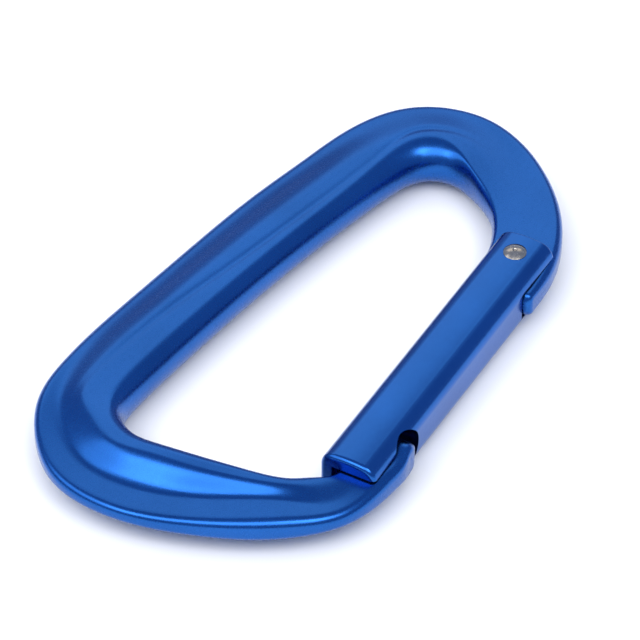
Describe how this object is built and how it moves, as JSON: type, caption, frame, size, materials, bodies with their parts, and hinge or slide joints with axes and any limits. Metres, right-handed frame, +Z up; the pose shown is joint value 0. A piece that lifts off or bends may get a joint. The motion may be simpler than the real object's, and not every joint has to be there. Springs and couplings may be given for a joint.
{
  "type": "snap carabiner",
  "caption": "Asymmetric D snap carabiner: forged ribbed frame with a key-shaped nose, straight sprung gate, one rivet hinge.",
  "frame": {"origin": "middle of the base of the overall box, with the carabiner lying flat", "axes": "+X along the closed gate from its nose end to its hinge end, +Y from the gate towards the spine, +Z up, square to the flat of the carabiner"},
  "size_m": [0.0785, 0.0422, 0.0078],
  "materials": {
    "anodised_forging": "satin blue anodised",
    "anodised_bar": "fine drawn blue anodised",
    "stainless_rivet": "satin stainless",
    "plunger_steel": "turned stainless",
    "spring_steel": "drawn spring wire"
  },
  "bodies": {
    "frame": {"frame": "anodised_forging"},
    "gate": {"gate": "anodised_bar", "hinge_rivet": "stainless_rivet", "return_spring": "spring_steel"},
    "plunger": {"spring_plunger": "plunger_steel"}
  },
  "joints": [
    {"name": "gate_hinge", "type": "hinge", "parent": "frame", "child": "gate", "pos_m": [0.01759, -0.01627, 0.0039], "axis": [0, 0, -1], "range_deg": [0, 28], "stiffness_Nm_per_rad": 0.015, "springref_deg": -56.15},
    {"name": "plunger_slide", "type": "slide", "parent": "gate", "child": "plunger", "axis": [-1, 0, 0], "range_m": [0, 0.00091], "deforming": ["return_spring"]}
  ],
  "couplings": [
    {"joint": "plunger_slide", "follows": "gate_hinge", "m_per_rad": 0.0018417}
  ]
}
